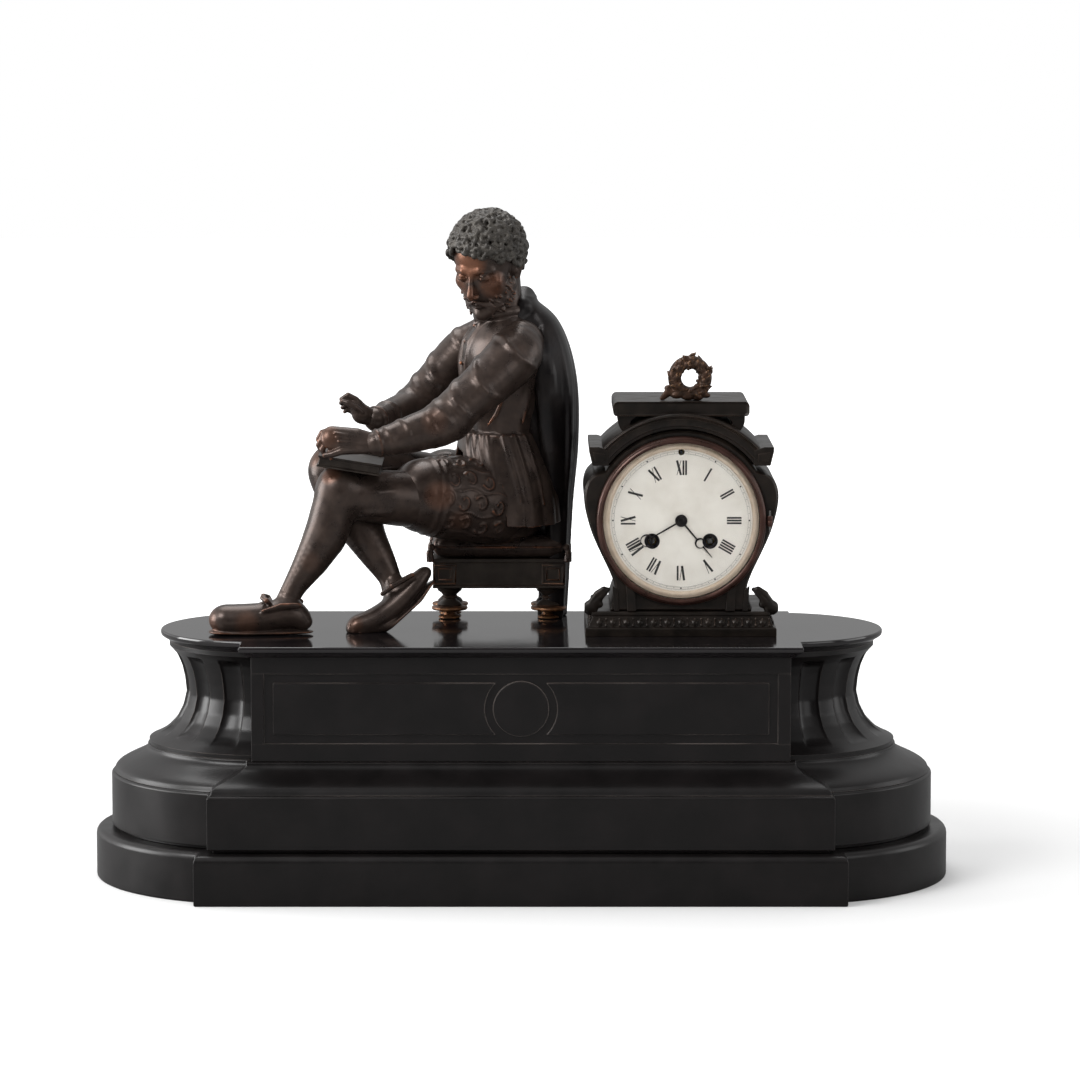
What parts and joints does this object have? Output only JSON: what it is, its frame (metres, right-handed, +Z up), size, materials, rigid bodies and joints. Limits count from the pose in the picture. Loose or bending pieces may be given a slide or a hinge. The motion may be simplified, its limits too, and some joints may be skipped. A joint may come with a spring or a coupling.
{
  "type": "figural mantel clock",
  "caption": "Mantel clock: a seated cast figure with a tablet beside a waisted clock case on a long plinth with round ends, with a glazed dial and a two-train movement.",
  "frame": {"origin": "centre of the base slab's underside", "axes": "+X to the right seen from the front, +Y away from the viewer, +Z up"},
  "size_m": [0.484, 0.21, 0.3777],
  "materials": {
    "slate": "polished black slate",
    "figure_bronze": "dark patinated bronze with copper-brown wear",
    "case_bronze": "dark patinated bronze",
    "gilt_bronze": "worn gilding",
    "champagne_gilt": "satin gilding",
    "movement_brass": "turned and grained",
    "bell_metal": "turned",
    "steel": "polished",
    "iron": "black from the forge",
    "dark_hand": "blackened",
    "enamel": "fired white enamel",
    "clear_glass": "clear, polished"
  },
  "bodies": {
    "clock": {"back_panel": "slate", "back_plate": "movement_brass", "back_ring": "movement_brass", "base_moulding": "slate", "base_slab": "slate", "base_step": "slate", "bell": "bell_metal", "bell_stand": "steel", "case_base": "case_bronze", "case_body": "case_bronze", "case_cap": "case_bronze", "case_hood": "case_bronze", "cloak": "figure_bronze", "dial": "enamel", "doublet_skirt": "figure_bronze", "drum_left": "slate", "drum_right": "slate", "far_hand": "figure_bronze", "far_leg": "figure_bronze", "far_shoe": "figure_bronze", "far_sleeve": "figure_bronze", "figure_head": "figure_bronze", "figure_torso": "figure_bronze", "front_panel": "slate", "front_plate": "movement_brass", "hinge_pins": "steel", "near_hand": "figure_bronze", "near_leg": "figure_bronze", "near_shoe": "figure_bronze", "near_sleeve": "figure_bronze", "plate_pillars": "movement_brass", "sight_ring": "champagne_gilt", "stool_cushion": "figure_bronze", "stool_feet": "gilt_bronze", "stool_frame": "figure_bronze", "suspension_cock": "movement_brass", "tablet": "figure_bronze", "tie_rods": "iron", "top_slab": "slate", "trunk_hose": "figure_bronze", "wreath": "gilt_bronze"},
    "bezel": {"bezel": "case_bronze", "bezel_glass": "clear_glass"},
    "rear_door": {"rear_door": "movement_brass"},
    "minute_arbor": {"minute_hand": "dark_hand", "centre_wheel": "movement_brass"},
    "hour_pipe": {"hour_hand": "dark_hand", "hour_wheel": "movement_brass"},
    "minute_wheel": {"minute_wheel": "movement_brass"},
    "second_wheel": {"second_wheel": "movement_brass"},
    "third_wheel": {"third_wheel": "movement_brass"},
    "escape_wheel": {"escape_wheel": "movement_brass"},
    "going_barrel": {"going_barrel": "movement_brass"},
    "going_arbor": {"going_arbor": "steel"},
    "strike_barrel": {"strike_barrel": "movement_brass"},
    "strike_arbor": {"strike_arbor": "steel"},
    "pendulum": {"pendulum": "steel"},
    "pallets": {"pallets": "steel"},
    "hammer": {"hammer": "steel"},
    "regulator": {"regulator_arbor": "steel"}
  },
  "joints": [
    {"name": "bezel_hinge", "type": "hinge", "parent": "clock", "child": "bezel", "pos_m": [0.1386, -0.0379, 0.2052], "axis": [0, 0, 1], "range_deg": [0, 110]},
    {"name": "door_hinge", "type": "hinge", "parent": "clock", "child": "rear_door", "pos_m": [0.1357, 0.0409, 0.2052], "axis": [0, 0, -1], "range_deg": [0, 110]},
    {"name": "minute_spin", "type": "hinge", "parent": "clock", "child": "minute_arbor", "pos_m": [0.0893, 0, 0.2052], "axis": [0, 1, 0], "continuous": true},
    {"name": "hour_spin", "type": "hinge", "parent": "clock", "child": "hour_pipe", "pos_m": [0.0893, 0, 0.2052], "axis": [0, 1, 0], "continuous": true},
    {"name": "minute_wheel_spin", "type": "hinge", "parent": "clock", "child": "minute_wheel", "pos_m": [0.0893, 0, 0.1992], "axis": [0, 1, 0], "continuous": true},
    {"name": "second_spin", "type": "hinge", "parent": "clock", "child": "second_wheel", "pos_m": [0.10191, 0, 0.21001], "axis": [0, 1, 0], "continuous": true},
    {"name": "third_spin", "type": "hinge", "parent": "clock", "child": "third_wheel", "pos_m": [0.08248, 0, 0.21471], "axis": [0, 1, 0], "continuous": true},
    {"name": "escape_spin", "type": "hinge", "parent": "clock", "child": "escape_wheel", "pos_m": [0.0893, 0, 0.22421], "axis": [0, 1, 0], "continuous": true},
    {"name": "barrel_spin", "type": "hinge", "parent": "clock", "child": "going_barrel", "pos_m": [0.1055, 0, 0.1936], "axis": [0, 1, 0], "continuous": true},
    {"name": "going_wind", "type": "hinge", "parent": "clock", "child": "going_arbor", "pos_m": [0.1055, 0, 0.1936], "axis": [0, 1, 0], "range_deg": [0, 1620]},
    {"name": "strike_barrel_spin", "type": "hinge", "parent": "clock", "child": "strike_barrel", "pos_m": [0.0731, 0, 0.1936], "axis": [0, 1, 0], "continuous": true},
    {"name": "strike_wind", "type": "hinge", "parent": "clock", "child": "strike_arbor", "pos_m": [0.0731, 0, 0.1936], "axis": [0, 1, 0], "range_deg": [0, 1620]},
    {"name": "pendulum_swing", "type": "hinge", "parent": "clock", "child": "pendulum", "pos_m": [0.0893, 0, 0.2377], "axis": [0, 1, 0], "range_deg": [-4, 4]},
    {"name": "crutch_swing", "type": "hinge", "parent": "clock", "child": "pallets", "pos_m": [0.0893, 0, 0.2377], "axis": [0, 1, 0], "range_deg": [-4, 4]},
    {"name": "hammer_swing", "type": "hinge", "parent": "clock", "child": "hammer", "pos_m": [0.1163, 0, 0.1862], "axis": [0, 1, 0], "range_deg": [0, 18]},
    {"name": "regulator_turn", "type": "hinge", "parent": "clock", "child": "regulator", "pos_m": [0.0893, 0, 0.2436], "axis": [0, 1, 0], "range_deg": [-720, 720]}
  ],
  "couplings": [
    {"joint": "minute_spin", "follows": "third_spin", "ratio": -0.083333},
    {"joint": "hour_spin", "follows": "third_spin", "ratio": -0.0069444},
    {"joint": "minute_wheel_spin", "follows": "third_spin", "ratio": 0.027778},
    {"joint": "second_spin", "follows": "third_spin", "ratio": 0.010417},
    {"joint": "barrel_spin", "follows": "third_spin", "ratio": -0.0017361},
    {"joint": "escape_spin", "follows": "third_spin", "ratio": -12},
    {"joint": "crutch_swing", "follows": "pendulum_swing", "ratio": 1}
  ]
}
